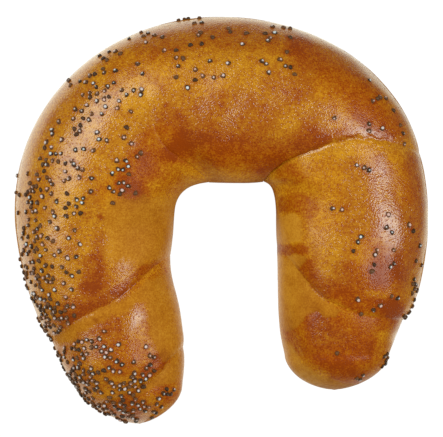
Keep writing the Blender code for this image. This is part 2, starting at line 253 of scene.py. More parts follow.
# Darker and lighter patches, by the turns of dough that they are on. Each is a stroke seen from above: its
# path, its half-width, how far it fades out beyond that, and how much darker it is.
STROKES = {
    # The left tip.
    (0,): (
        ([(-26, -43), (-24.5, -48.5)], 3, 4, 0.24),
        ([(-16, -45.5), (-13.5, -47.5)], 1, 2, 0.22),
    ),
    # The left band.
    (1,): (
        ([(-30, -30.5), (-25.5, -36.5)], 3, 4, 0.2),
        ([(-20.5, -41), (-17.5, -39), (-15.5, -37.5)], 1, 2, 0.38),
        ([(-33.5, -27)], 0.4, 0.6, 0.45),
        ([(-12, -22), (-11, -32)], 3, 3, -0.1),
    ),
    # The belly: the long turn round the arch, down to the crease on the left leg.
    (2,): (
        ([(-10.5, 19.5), (-4, 19), (3.5, 18.5), (11, 16.5), (17.5, 17), (24.5, 22)], 1.8, 5, 0.42),
        ([(-9.5, 22.5), (-4, 24)], 2, 3, 0.12),
        ([(-1.5, 18.5)], 2, 3, 0.1),
        ([(14.5, 14)], 2, 3, 0.22),
        ([(21.5, 45), (29.5, 41), (36, 36), (39.5, 30), (45, 24.5)], 1.5, 6, 0.42),
        ([(-20, 46.5), (-4.5, 50), (7.5, 50), (20, 48)], 1.5, 4.5, 0.24),
        ([(21, 19), (28.5, 22), (34, 23.5)], 0.8, 2.2, 0.22),
        ([(-23.5, 10.5), (-20.5, 16.5), (-17, 20.5), (-13.5, 25)], 3, 4, 0.34),
        ([(-12.8, 18.6), (-10, 19)], 1.5, 2, 0.25),
        ([(-25, 8.5), (-22, 7)], 1.5, 3, 0.25),
        ([(-32.5, -4), (-33, -10)], 1, 1.8, 0.22),
        ([(-34, -11.5), (-34.5, -17.5)], 1.8, 2.5, 0.35),
        ([(-33, -20), (-39, -24)], 2, 4, 0.25),
        ([(-43.5, -27), (-38, -25.5), (-31.5, -22), (-27, -19)], 0.8, 1.8, 0.3),
        ([(-27.5, -18.5), (-24.7, -17), (-23, -15.4), (-20.8, -13.4), (-17.8, -12.2)], 0.9, 1.6, 0.4),
        ([(-52, 2), (-47, 22), (-37, 37), (-24, 46)], 1, 3.5, 0.04),
        ([(24, 31), (35, 24)], 4, 5, 0.12),
        ([(-4, 28), (8, 27)], 4, 5, 0.22),
        ([(-24, 0), (-20, -6)], 4, 5, 0.12),
        ([(-28, 34), (-40, 20), (-47, 8), (-47.5, -8), (-44, -20)], 4, 5, -0.05),
        ([(-18, 15.5)], 2, 3, 0.22),
        ([(-13, 11.5)], 1.5, 2.5, 0.18),
        ([(-31, -15)], 2, 2.5, 0.22),
        ([(15, 36.5), (21, 34.5)], 2, 3.5, 0.22),
        ([(-26.5, 40)], 2, 3.5, 0.15),
        # The next two are lighter as painted highlight, on the shoulder and on the left leg's outer side.
        ([(-22, 34)], 2.5, 3.5, -0.22),
        ([(-40.5, 4)], 2.5, 3.5, -0.25),
        ([(-15, 30.5)], 0.4, 0.8, 0.4),
        ([(-32, 1)], 0.5, 0.7, 0.5),
        ([(0.5, 30)], 0.4, 0.8, 0.35),
        ([(10.5, 13.5)], 0.5, 0.8, 0.35),
    ),
    # The right leg.
    (3,): (
        ([(21, 17), (29.5, 19.5), (39, 19.5)], 1.2, 2.6, -0.12),
        ([(17, 13), (20.5, 11.5)], 1.4, 1.6, 0.28),
        ([(18, 4.5), (20.5, 4.8), (23.5, 3.2)], 1.9, 1.3, 0.36),
        ([(22.5, -12.5), (24.5, -16.5), (29.5, -19), (35.5, -21.5), (42, -23.5), (47, -24.5)], 1, 2.8, 0.46),
        ([(33.5, -16), (38.5, -14.5)], 2.5, 3.5, 0.26),
        ([(27, 12.5), (28.5, 5)], 2.5, 3, 0.1),
        ([(18, 0), (18.5, -3.5)], 2, 2, -0.25),
        ([(17.5, -11.5)], 2, 2, -0.25),
        ([(51, 15), (52, 5.5), (51.5, -5), (49, -14.5)], 1.2, 3, 0.36),
        ([(43, 13), (45, 2), (43.5, -14)], 2.5, 3, 0.24),
        # Painted shade: darker where the right soft box lights the leg's slope directly.
        ([(35.5, 12), (37, -2), (37.5, -14)], 2.5, 4, 0.16),
    ),
    # Across the crease on the right leg.
    (3, 4): (
        ([(15, -7.2), (22, -7.2)], 0.9, 0.9, 0.42),
        ([(44, -12), (46.5, -18), (45, -27)], 2, 3.5, 0.32),
    ),
    # The right tip, dark below its pale opened strip.
    (4,): (
        ([(20, -16), (22, -19.5)], 1.2, 1.8, 0.22),
        ([(16.5, -13), (18.5, -26), (19.5, -35), (24, -42)], 3, 3, -0.25),
        ([(24.5, -18.5), (28.5, -23.5)], 1.5, 2, -0.18),
        ([(24, -28), (30.5, -33.5), (35, -37.5)], 4.5, 6, 0.32),
        ([(33, -39.5)], 2, 2.6, 0.18),
        ([(24, -27)], 1.6, 2, 0.2),
        ([(19, -31), (21.5, -34.5)], 1.4, 2, 0.18),
        ([(38.5, -34.5)], 2, 3, 0.12),
        ([(38.5, -27.5)], 2, 3, 0.2),
        ([(25, -37.5), (29, -38.5)], 1.5, 2.5, 0.2),
    ),
}

# Where no glaze was brushed, or dough has opened beyond it: the turn, how soft the edge is, and the outline.
BARE = (
    (0, 1, [
        (-25, -47.5), (-21.5, -44.5), (-17.5, -41), (-13.5, -38.5), (-9, -34), (-6, -40), (-10, -43),
        (-16.5, -45)
    ]),
    (1, 2, [
        (-46, -31), (-35, -25), (-24, -19), (-12, -12), (-6, -21), (-6, -40), (-17, -38), (-18.5, -32),
        (-19.5, -26.5), (-19.5, -22), (-22.5, -21.3), (-26, -23.5), (-29, -26), (-34, -29),
        (-39.5, -30.5), (-43.5, -34)
    ]),
    (2, 4, [
        (-25, 5.7), (-31, 5), (-30.5, 1.5), (-31, -4), (-30.5, -9), (-29, -11), (-25, -11),
        (-23.5, -12.5), (-19.5, -11), (-15, -9.5), (-8, -8), (-8, 6), (-19.5, 6.5)
    ]),
    (3, 1, [
        (12, 1.5), (20, 2), (21.8, 0), (22.4, -3), (21.3, -5.3), (12, -5.6)
    ]),
    (3, 1, [
        (12, -9), (17, -8.8), (20.7, -8.7), (22.4, -10), (21, -12.5), (18, -16), (12, -14)
    ]),
    (4, 1, [
        (12, -8.6), (21.5, -10), (26.5, -18), (34, -23.5), (31, -26.5), (27.5, -26.5), (25, -24),
        (22.5, -25), (21.5, -28), (19, -30), (16.5, -28.5), (12, -27.5)
    ]),
    (4, 1, [
        (10, -31), (17.5, -32), (21, -37.5), (25.5, -42), (32, -44), (42, -44.5), (42, -50), (10, -50)
    ]),
)
BRUSHED_SIDE = np.radians((112, 128))
"""The brush missed most of the inner side: gloss is full up to the first angle, and ends at the other."""
BRUSHED_WANDER = ((5.0, 0.1, 24),)
"""How that edge wanders, in radians."""
SHEEN = 0.25
"""The gloss of the bare dough on the legs' inner sides, as a share of the glaze's."""
SHEEN_SIDE = np.radians((152, 170))
"""There is none up to the first of these angles round the roll, and it is full past the other."""
SHEEN_END = (-2.0, 8.0)
"""It is full up to the first of these Y, and none is left past the other, on the arch's inner side."""
DULLED = (
    ([(-27, 7), (-21, 14), (-15.5, 20)], 4.5, 3, 0.95),
    ([(21.5, 10), (22.5, -9)], 3.5, 4.5, 0.75),
    ([(-12, -44), (-16, -46)], 2, 3, 0.5),
    ([(-19, -30.5), (-16, -42)], 3.5, 2.5, 0.7),
    ([(-23.5, -34.5), (-22, -40)], 3, 2.5, 0.55),
    ([(-20.5, -22.5)], 1.5, 2.5, 0.6),
    ([(-26, -14)], 4, 3, 0.5),
    ([(39, -7), (40, -20)], 3, 3.5, 0.6),
    ([(33, -23), (40, -28)], 4, 3, 0.9),
    ([(49, -22), (49, -28)], 2, 3, 0.4),
    ([(38, -8.5), (44, -9), (45, -19)], 2, 3, 0.5),
    ([(39, 18.5)], 2.5, 3, 0.6),
    ([(27.5, 13), (28.5, 2)], 3, 3.5, 0.75),
    ([(33, 26.5)], 2.5, 2.5, 0.4),
    ([(45, 24)], 2, 2.5, 0.5),
    ([(-3, 37)], 3, 4, 0.5),
    ([(-29, 38.5), (-24, 41), (-18, 40)], 2.5, 4, 0.6),
    ([(-44, 12), (-46, 4)], 2.5, 3, 0.35),
    ([(30, 36), (40, 30)], 4, 3, 0.75),
    ([(-14, 40)], 3, 4, 0.5),
    ([(-44, 10), (-36, 26), (-22, 38)], 6, 4, 0.2),
    ([(46.5, 16), (48.5, 6)], 1.5, 2, 0.7),
    ([(-46, -33), (-37, -49), (-20, -56)], 3, 4, 0.42),
    ([(20, -39), (30, -42), (41, -37)], 5, 4, 0.85),
)
"""Where the glaze has soaked in: strokes as above, with how much of its gloss is gone."""
GLAZE_END = 0.16
"""The glaze ends on the sides at this level, from 0 at the widest part of the roll to 1 at the crown."""
GLAZE_END_WANDER = ((24.0, 2.5, 25), (9.0, 1.5, 23), (3.0, 0.6, 26))
"""How that edge wanders."""
UNDERSIDE_BAKED = 0.3
"""How much darker the underside is than the sides, and between which levels it grows so."""
UNDERSIDE_LEVELS = (-0.7, -1.0)
WARPS = ((6.0, 0.9, 11), (2.2, 0.35, 14))
"""How the edges of all these patches wander along X. Along Y they have the next seed."""


def natural_spline(knots, values):
    """A smooth curve through the rows of values at knots, as a function that holds its end values."""
    gaps = np.diff(knots)
    slopes = np.diff(values, axis=0) / gaps[:, None]
    system = np.eye(len(knots))
    bending = np.zeros_like(values)
    for i in range(1, len(knots) - 1):
        system[i, i - 1 : i + 2] = gaps[i - 1], 2 * (gaps[i - 1] + gaps[i]), gaps[i]
        bending[i] = 6 * (slopes[i] - slopes[i - 1])
    bends = np.linalg.solve(system, bending)

    def at(position):
        position = np.clip(position, knots[0], knots[-1])
        i = np.clip(np.searchsorted(knots, position) - 1, 0, len(gaps) - 1)
        before = ((knots[i + 1] - position) / gaps[i])[..., None]
        after = 1 - before
        curved = (before**3 - before) * bends[i] + (after**3 - after) * bends[i + 1]
        return before * values[i] + after * values[i + 1] + curved * gaps[i, None] ** 2 / 6

    return at


def smoothstep(low, high, x):
    """From 0 where x is low or less to 1 where it is high or more, without a kink."""
    share = np.clip((x - low) / (high - low), 0, 1)
    return share * share * (3 - 2 * share)


RIB_MIDDLES = (RIBS[:, 0:2] + RIBS[:, 2:4]) / 2
STATIONS = np.concatenate([[0], np.cumsum(norm(np.diff(RIB_MIDDLES, axis=0), axis=1))])
LEFT_CAP = norm(LEFT_TIP - RIB_MIDDLES[0])
RIGHT_CAP = norm(RIGHT_TIP - RIB_MIDDLES[-1])
FIRST, LAST = -LEFT_CAP, STATIONS[-1] + RIGHT_CAP
rib_at = natural_spline(STATIONS, RIBS)

# Rings of the surface lean with the creases: at each place across, this far from their station at the crown.
CREASE_CROWNS = CREASE_STATIONS[:, 2]
LEANS = CREASE_STATIONS - CREASE_CROWNS[:, None]
lean_at = natural_spline(
    np.concatenate([[FIRST], CREASE_CROWNS, [LAST]]), np.vstack([[0] * 5, LEANS, [0] * 5])
)
places_at = natural_spline(CREASE_ACROSS, np.eye(5))
"""How much a point across the roll takes from each of the five places."""


def across_and_level(angle, flatness=1.0):
    """Where a point is in its cross-section: from -1 on the inner side to 1 on the outer, and its level, from
    -1 at the base through 0 at the widest part to 1 at the crown. Angle 0 is the outer side, and pi the
    inner. With a flatness of 0 there is no flat base, and the sides curl all the way under."""
    rise = np.sin(angle)
    run = np.cos(angle)
    crown_across = np.sign(run) * np.abs(run) ** (2 / CROWN_FULLNESS)
    crown_level = np.maximum(rise, 0) ** (2 / CROWN_FULLNESS)
    last_curl = pi / 2 - (pi / 2 - FOOT_ANGLE) * flatness
    curl = np.arcsin(np.clip(-rise, 0, sin(FOOT_ANGLE))) / FOOT_ANGLE * last_curl
    under = (np.cos(curl) - np.cos(last_curl)) / (1 - np.cos(last_curl))
    base_share = BASE_SHARE * flatness
    foot_across = np.sign(run) * (base_share + (1 - base_share) * under)
    foot_level = -np.sin(curl) / np.sin(last_curl)
    above = rise >= 0
    return np.where(above, crown_across, foot_across), np.where(above, crown_level, foot_level)


def towards_tip(turn, crown):
    """How far beyond a crease a turn is, or less than 0 on the side nearer the belly."""
    return (turn - crown) * (1 if crown > BELLY_STATION else -1)


def relief(turn, angle, across, level):
    """How far the surface stands out from the plain roll."""
    height = np.zeros(np.broadcast(turn, angle).shape)
    for wavelength, waves, tall, phase in LUMPS:
        height = height + tall * np.sin(tau * turn / wavelength + waves * angle + phase)
    height = height * smoothstep(*LUMPS_LEVELS, level)
    for crown, depths in zip(CREASE_CROWNS, CREASE_DEPTHS):
        beyond = towards_tip(turn, crown)
        reach = np.where(beyond > 0, TIP_ROUNDING, BELLY_ROUNDING)
        height = height - places_at(across) @ depths * np.exp(-np.abs(beyond) / reach)
    return height * smoothstep(*RELIEF_LEVELS, level)


def surface(turn, angle):
    """Points on the crust. turn is the station at the crown of the ring that a point is on."""
    eased = smoothstep(0, FOOT_EASE, np.minimum(turn - FIRST, LAST - turn))
    across, level = across_and_level(angle, LEAST_FLATNESS + (1 - LEAST_FLATNESS) * eased)
    station = turn + np.sum(lean_at(turn) * places_at(across), axis=-1)
    rib = rib_at(station)
    beyond = np.where(station < 0, -station / LEFT_CAP, (station - STATIONS[-1]) / RIGHT_CAP)
    beyond = np.clip(beyond, 0, 1)
    bluntness = np.where(station < 0, LEFT_BLUNTNESS, RIGHT_BLUNTNESS)
    fullness = (1 - beyond**bluntness) ** (1 / bluntness)
    tip = np.where((station < 0)[..., None], LEFT_TIP, RIGHT_TIP)
    middle = (rib[..., 0:2] + rib[..., 2:4]) / 2
    middle = middle + (tip - middle) * beyond[..., None]
    half = (rib[..., 2:4] - rib[..., 0:2]) / 2 * fullness[..., None]
    side_height = SIDE_LEVEL * rib[..., 4]
    rise = np.where(level > 0, rib[..., 4] - side_height, side_height) * level * fullness
    radius = np.hypot(norm(half, axis=-1) * across, rise)
    swell = 1 + relief(turn, angle, across, level) / np.maximum(radius, LEAST_RADIUS)
    plan = middle + half * (across * swell)[..., None] - MIDDLE
    height = side_height + rise * swell
    return np.concatenate([plan, np.maximum(height, 0)[..., None]], axis=-1)


def directions(turn, angle):
    """At points of the crust: a direction along the roll, and one out of it, which is 1 long."""
    step = 0.01
    turn = np.clip(turn, FIRST + TIP_STEP, LAST - TIP_STEP)
    ahead = surface(turn + step, angle) - surface(turn - step, angle)
    around = surface(turn, angle + step) - surface(turn, angle - step)
    outward = np.cross(around, ahead)
    outward /= np.maximum(norm(outward, axis=-1, keepdims=True), TINY)
    return ahead, outward


def random_lumps(points, wavelength, seed):
    """Smooth random values between -1 and 1 at points, with lumps about a wavelength apart."""
    size = 64
    table = np.random.RandomState(seed).uniform(-1, 1, (size, size, size))
    cell = np.floor(points / wavelength)
    share = smoothstep(0, 1, points / wavelength - cell)
    total = np.zeros(points.shape[:-1])
    for corner in itertools.product((0, 1), repeat=3):
        at = (cell + corner).astype(int) % size
        weight = np.prod(np.where(corner, share, 1 - share), axis=-1)
        total += weight * table[at[..., 0], at[..., 1], at[..., 2]]
    return total


def layered_lumps(points, layers):
    """Lumps of several sizes in one."""
    return sum(reach * random_lumps(points, wavelength, seed) for wavelength, reach, seed in layers)


def low_relief(points, turn, angle):
    """How far the finished crust stands out from the solid's surface at points of it."""
    across, level = across_and_level(angle)
    height = layered_lumps(points, DIMPLES)
    wander = layered_lumps(points, CREASE_WANDER)
    for crown, depths, sharpness in zip(CREASE_CROWNS, CREASE_DEPTHS, SHARPNESS):
        depth = sharpness * (places_at(across) @ depths)
        beyond = towards_tip(turn, crown) + wander
        groove = np.exp(-((beyond / GROOVE_WIDTH) ** 2))
        lip = np.exp(-(((beyond + LIP_OFFSET) / LIP_WIDTH) ** 2))
        height = height + depth * (LIP_HEIGHT * lip - GROOVE_DEPTH * groove)
    away = path_distance(points[..., 0:2], CRINKLE)
    folds = np.sin(tau * away / CRINKLE_GAP) * layered_lumps(points, CRINKLE_LUMPS)
    height = height + CRINKLE_HEIGHT * folds * np.exp(-((away / CRINKLE_REACH) ** 2))
    return height * smoothstep(*LOW_RELIEF_LEVELS, level)


def on_bare_strip(turn, angle):
    """Whether points lie on a strip that opened beside a crease, on the side nearer the tip."""
    bare = np.zeros(turn.shape, bool)
    for crown, (width, end) in zip(CREASE_CROWNS, BARE_STRIPS):
        beyond = towards_tip(turn, crown)
        bare |= (beyond > 0) & (beyond < width) & (angle > radians(end))
    return bare


def scattered_seeds():
    """Turn, angle, heading and length of every poppy seed, the longest first."""
    chance = np.random.RandomState(SCATTER)
    seeds = []
    middles = np.empty((0, 3))
    for station, degrees, along, around, count in CLOUDS:
        clumps = chance.normal((station, degrees), (along, around), (ceil(count / CLUMP_SEEDS), 2))
        clump_turns, clump_degrees = clumps[chance.randint(len(clumps), size=DRAWS * count)].T
        turns = clump_turns + chance.normal(0, CLUMP_SPREAD, DRAWS * count)
        angles = np.radians(clump_degrees) + chance.normal(0, CLUMP_SPREAD / CRUST_RADIUS, DRAWS * count)
        headings = chance.uniform(0, tau, DRAWS * count)
        lengths = chance.uniform(*SEED_LENGTHS, DRAWS * count)
        fits = (turns > FIRST + TIP_CLEARANCE) & (turns < LAST - TIP_CLEARANCE)
        fits &= (angles > SEEDED_ANGLES[0]) & (angles < SEEDED_ANGLES[1])
        fits &= ~on_bare_strip(turns, angles)
        points = surface(turns, angles)
        placed = 0
        for i in np.flatnonzero(fits):
            if placed == count:
                break
            if np.all(norm(middles - points[i], axis=1) > SEED_GAP):
                middles = np.vstack([middles, points[i]])
                seeds.append((turns[i], angles[i], headings[i], lengths[i]))
                placed += 1
    return np.array(sorted(seeds, key=lambda seed: -seed[3]))


# The crust.


def ring_turns():
    """Where rings cross the crown: one on every crease, and closer together next to it and at the tips."""
    stops = [FIRST, *CREASE_CROWNS, LAST]
    turns = [FIRST]
    for start, end in zip(stops, stops[1:]):
        count = round((end - start) / RING_GAP)
        even = np.arange(1, count + 1) / count
        if start == FIRST:
            eased = 1 - np.cos(even * pi / 2)
        elif end == LAST:
            eased = np.sin(even * pi / 2)
        else:
            eased = (even + (1 - np.cos(pi * even)) / 2) / 2
        turns.extend(start + (end - start) * eased)
    return np.array(turns)


def ring_angles():
    """Angles of the points round a ring, from one edge of the base over the crown to the other."""
    foot = np.linspace(-FOOT_ANGLE, 0, FOOT_STEPS + 1)[:-1]
    crown = np.linspace(0, pi, CROWN_STEPS + 1)
    return np.concatenate([foot, crown, pi - foot[::-1]])


def seed_nearness(points, seed_middles):
    """From 1 at the middle of the nearest poppy seed to 0 well away from all of them."""
    tree = KDTree(len(seed_middles))
    for i, middle in enumerate(seed_middles):
        tree.insert(middle, i)
    tree.balance()
    distances = np.array([tree.find(point)[2] for point in points])
    return np.exp(-((distances / MENISCUS_REACH) ** 2))


def path_distance(plan, path):
    """Distance from points in plan to the line through a path."""
    path = np.array(path, float)
    nearest = np.full(plan.shape[:-1], np.inf)
    for start, end in zip(path, path[1:] if len(path) > 1 else path):
        run = end - start
        share = np.clip((plan - start) @ run / max(run @ run, TINY), 0, 1)
        away = plan - start - share[..., None] * run
        nearest = np.minimum(nearest, norm(away, axis=-1))
    return nearest


def depth_inside(plan, outline):
    """How far inside a closed outline points in plan are, or less than 0 outside it."""
    x, y = plan[..., 0], plan[..., 1]
    inside = np.zeros(x.shape, bool)
    closed = [*outline, outline[0]]
    for (x0, y0), (x1, y1) in zip(closed, closed[1:]):
        if y0 != y1:
            inside ^= ((y0 > y) != (y1 > y)) & (x < x0 + (x1 - x0) * (y - y0) / (y1 - y0))
    return np.where(inside, 1, -1) * path_distance(plan, closed)


def on_stroke(plan, path, width, fade):
    """1 for points in plan that are on a stroke along a path, and less towards where it has faded out."""
    return 1 - smoothstep(0, 1, (path_distance(plan, path) - width) / fade)


def baking_and_painted_light(points, turn, angle):
    """How dark the crust is, from 0 to 1: baked, with some painted highlight and shade. And how far points
    are beyond the glaze's edge.
    """
    level = across_and_level(angle)[1]
    plan = points[..., 0:2].copy()
    for wavelength, reach, seed in WARPS:
        plan[..., 0] += reach * random_lumps(points, wavelength, seed)
        plan[..., 1] += reach * random_lumps(points, wavelength, seed + 1)
    from_belly = np.where(turn > BELLY_STATION, 1, -1)
    edges = CREASE_CROWNS[list(TURN_EDGES)]
    which = np.searchsorted(edges, turn + from_belly * layered_lumps(points, CREASE_WANDER))
    dark = np.array(BAKED)[which]
    for turns, strokes in STROKES.items():
        darker = sum(amount * on_stroke(plan, path, width, fade) for path, width, fade, amount in strokes)
        dark = dark + np.where(np.isin(which, turns), darker, 0)
    dark = dark + UNDERSIDE_BAKED * smoothstep(*UNDERSIDE_LEVELS, level)
    bare = (GLAZE_END - level) * CRUST_RADIUS + layered_lumps(points, GLAZE_END_WANDER)
    for number, softness, outline in BARE:
        depth = depth_inside(plan, outline) / softness
        bare = np.maximum(bare, np.where(which == number, depth, bare))
    return dark + layered_lumps(points, UNEVENLY_BAKED), bare


def glossiness(points, angle):
    """How much of the gloss of full glaze the crust has, from 0 to 1."""
    gloss = 1 - smoothstep(*BRUSHED_SIDE, angle + layered_lumps(points, BRUSHED_WANDER))
    for path, width, fade, amount in DULLED:
        gloss = gloss * (1 - amount * on_stroke(points[..., 0:2], path, width, fade))
    return gloss


def mesh_from(name, points, faces):
    """A mesh with smooth shading."""
    mesh = bpy.data.meshes.new(name)
    mesh.from_pydata((points * MM).tolist(), [], faces)
    mesh.update()
    mesh.shade_smooth()
    return mesh


def set_values(mesh, name, values):
    """Gives each vertex a number that the material reads by name."""
    attribute = mesh.attributes.new(name, "FLOAT", "POINT")
    attribute.data.foreach_set("value", np.ascontiguousarray(values, np.float32).ravel())


def ring_faces(rings, sides, closed=False):
    """Faces from each ring of points to the next. If closed, they go on from the last ring to the first, and
    otherwise from these two to the end points, which come after all the rings."""
    beside = [(j, (j + 1) % sides) for j in range(sides)]
    faces = []
    for i in range(rings if closed else rings - 1):
        low, high = i * sides, (i + 1) % rings * sides
        faces += [(low + j, low + k, high + k, high + j) for j, k in beside]
    if not closed:
        last, end = (rings - 1) * sides, rings * sides
        for j, k in beside:
            faces += [(k, j, end), (last + j, last + k, end + 1)]
    return faces


def crust_mesh(seed_middles):
    """The finished crust as one closed mesh, with how each of its points is baked."""
    turns, angles = ring_turns()[1:-1], ring_angles()
    turn, angle = np.meshgrid(turns, angles, indexing="ij")
    smooth = surface(turn, angle)
    rise = low_relief(smooth, turn, angle)
    near_seed = seed_nearness(smooth.reshape(-1, 3), seed_middles).reshape(turn.shape)
    points = smooth + (rise + MENISCUS_HEIGHT * near_seed)[..., None] * directions(turn, angle)[1]
    points[..., 2] = np.maximum(points[..., 2], 0)
    dark, bare = baking_and_painted_light(smooth, turn, angle)
    gloss = glossiness(smooth, angle)
    sheen = SHEEN * smoothstep(*SHEEN_SIDE, angle) * (1 - smoothstep(*SHEEN_END, smooth[..., 1]))

    # The base: points from one edge of each ring to the other.
    share = np.arange(1, BASE_STEPS + 1) / (BASE_STEPS + 1)
    base = points[:, -1:, :] + (points[:, :1, :] - points[:, -1:, :]) * share[:, None]
    points = np.concatenate([points, base], axis=1)
    extend = ((0, 0), (0, BASE_STEPS))
    looks = {"dark": dark, "bare": bare, "gloss": gloss, "sheen": sheen}
    looks = {name: np.pad(values, extend, "edge") for name, values in looks.items()}
    looks["near_seed"] = np.pad(near_seed, extend)

    # Both tips look as the outer side of the ring next to them.
    tips = [surface(np.array(end), np.array(0.0)) for end in (FIRST, LAST)]
    mesh = mesh_from("crust", np.vstack([points.reshape(-1, 3), tips]), ring_faces(*points.shape[:2]))
    for name, values in looks.items():
        set_values(mesh, name, np.concatenate([values.ravel(), values[[0, -1], FOOT_STEPS]]))
    return mesh


# The poppy seeds.

SEED_SIDES = 12
"""Points of a ring round a seed, and how many such rings it has."""
SEED_LEVELS = 6
SEED_FULLNESS = 0.85
"""How full a seed is above and below its widest part: 1 is an ellipsoid, and less is fuller."""
RIM = ((1.40, -0.10), (1.12, 0.03), (0.80, 0.14), (0.80, -0.30))
# The glaze that has gathered round a seed, as a closed ring sunk in the crust, dark partly from baking and
# partly with painted shade next to the seed: how far its edges reach, as a share of the seed's outline, and
# their height above the crust.
"""The glaze that has gathered round a seed and baked dark, as a closed ring sunk in the crust: how far its
edges reach, as a share of the seed's outline, and their height above the crust."""
RIM_RAGGEDNESS = 0.07
"""How much those shares vary."""
RIM_START = 0.5
"""The number that tells rims from seeds: 0 on a seed, this at a rim's inner edge, and 1 more at its outer."""
# A seed's pale spot on its upper half is partly its own paler skin and partly a painted highlight.
SPOT_SIZE = 0.68
"""How far the pale spot on a seed reaches, as a share of half the seed's length, and how this varies."""
SPOT_VARIES = (0.6, 1.1)
SPOT_OFFSET = 0.2
"""How far from a seed's middle its spot tends to be, in the same way."""
SPOTLESS = 0.2
"""The share of seeds without a pale spot."""
NO_SPOT = -1.0
"""The least depth in a spot that a point is given, and how much is taken off on a seed's lower half."""
SPOT_DROP = 2.0


def outline_of_seed(turn):
    """A kidney's outline as long as 2."""
    return np.stack([np.cos(turn), SEED_WIDTH * np.sin(turn) - SEED_BEND * np.cos(2 * turn)], axis=-1)


def seed_form():
    """Points of a poppy seed as long as 2, in rings from below and then its two ends, and its faces."""
    rises = np.linspace(-pi / 2, pi / 2, SEED_LEVELS + 2)[1:-1]
    around = np.arange(SEED_SIDES) * tau / SEED_SIDES
    rise, turn = np.meshgrid(rises, around, indexing="ij")
    plan = (np.cos(rise) ** SEED_FULLNESS)[..., None] * outline_of_seed(turn)
    height = SEED_THICKNESS * np.sin(rise)[..., None]
    points = np.concatenate([plan, height], axis=-1).reshape(-1, 3)
    ends = [(0, SEED_BEND / 2, -SEED_THICKNESS), (0, SEED_BEND / 2, SEED_THICKNESS)]
    return np.vstack([points, ends]), ring_faces(SEED_LEVELS, SEED_SIDES)


def repeat_faces(faces, points_each, count, first):
    """The faces of count copies of a form, whose points follow one another from number first on."""
    starts = range(first, first + count * points_each, points_each)
    return [tuple(start + corner for corner in face) for start in starts for face in faces]


def seeds_mesh(seeds, crust_lift):
    """All the poppy seeds as one mesh, each lying flat on the crust in its rim of glaze."""
    form, form_faces = seed_form()
    count = len(seeds)
    turn, angle, heading, length = seeds.T
    ahead, outward = directions(turn, angle)
    side = np.cross(outward, ahead)
    side /= norm(side, axis=-1, keepdims=True)
    forward = np.cross(side, outward)
    long_axis = np.cos(heading)[:, None] * forward + np.sin(heading)[:, None] * side
    axes = np.stack([long_axis, np.cross(outward, long_axis), outward], axis=1)
    ground = surface(turn, angle) + crust_lift[:, None] * outward
    half = length[:, None, None] / 2
    bodies = (ground + SEED_LIFT * outward)[:, None] + (form * half) @ axes

    chance = np.random.RandomState(SCATTER + 1)
    around = np.arange(SEED_SIDES) * tau / SEED_SIDES
    reach, height = np.array(RIM).T.repeat(SEED_SIDES, axis=1)
    outline = np.tile(outline_of_seed(around), (len(RIM), 1))
    ragged = reach * (1 + RIM_RAGGEDNESS * chance.normal(size=(count, SEED_SIDES * len(RIM))))
    flat = outline * ragged[..., None] * half
    rims = np.concatenate([flat, np.broadcast_to(height[:, None], (*ragged.shape, 1))], axis=-1)
    rims = ground[:, None] + rims @ axes

    points = np.vstack([bodies.reshape(-1, 3), rims.reshape(-1, 3)])
    faces = repeat_faces(form_faces, len(form), count, 0)
    rim_faces = ring_faces(len(RIM), SEED_SIDES, closed=True)
    body_points, rim_points = bodies.size // 3, rims.size // 3
    faces += repeat_faces(rim_faces, rims.shape[1], count, body_points)
    mesh = mesh_from("poppy_seeds", points, faces)

    spot_middle = chance.normal(0, SPOT_OFFSET, (count, 1, 2))
    spot_size = SPOT_SIZE * chance.uniform(*SPOT_VARIES, (count, 1))
    spot_size = spot_size * (chance.uniform(size=(count, 1)) > SPOTLESS)
    from_middle = norm(form[:, 0:2] - spot_middle, axis=-1)
    spot = np.clip(spot_size - from_middle, NO_SPOT, 1) - SPOT_DROP * (form[:, 2] < 0)
    rim = RIM_START + (reach - reach.min()) / (reach.max() - reach.min())
    tint = chance.uniform(size=count)
    set_values(mesh, "tint", np.concatenate([tint.repeat(len(form)), np.zeros(rim_points)]))
    set_values(mesh, "spot", np.concatenate([spot.ravel(), np.full(rim_points, NO_SPOT)]))
    set_values(mesh, "rim", np.concatenate([np.zeros(body_points), np.tile(rim, count)]))
    return mesh


# Materials.

GLAZED_COLOURS = (
    (0.0, (188, 127, 16)),
    (0.33, (168, 104, 8)),
    (0.62, (151, 80, 2)),
    (0.85, (143, 64, 0)),
    (1.0, (128, 51, 0)),
)
"""How dark glazed crust is, and the colour it then has, as a screen shows it. The same for bare crust."""
BARE_COLOURS = ((0.0, (180, 121, 30)), (0.5, (158, 95, 14)), (1.0, (134, 70, 4)))
MOTTLING = (3.5, 1.1, 0.42)
"""Wavelengths of the crust's coarse and fine mottling, and of its grain."""
PIT_GAP = 0.75
"""Distance between the crust's pits, and where a pit starts and is full, as shares of it from its middle."""
PIT_EDGE = (0.42, 0.1)
SHADES = {"coarse": 0.45, "fine": 0.6, "grain": 1.2, "pits": 0.16, "gathered": 0.08, "near_seed": 0.25}
# How much darker each of these makes the crust. Near a seed that is partly baked glaze and partly painted
# shade.
"""How much darker each of these makes the crust."""
BUMPS = {"fine": 0.2, "grain": 0.6, "pits": -0.45}
"""How much each of these lifts the crust, as a share of the height of its bumps."""
BUMP_HEIGHT = 0.11
BARE_MOTTLED = 0.8
"""How mottled and how bumpy bare crust is, as a share of glazed crust."""
BARE_BUMPY = 0.5
EDGE_WANDER = 1.6
"""How far the glaze's edge wanders finely, and how soft it is."""
EDGE_SOFTNESS = 0.3
GATHERED = (-1.6, -0.2)
"""Between which distances from that edge the glaze has gathered and baked darker."""
ROUGHNESS = (0.5, 0.2)
"""The crust's roughness below its glaze, and how much that varies."""

PALE_AND_LIT_SPOT_COLOURS = ((190, 146, 132), (182, 186, 186))
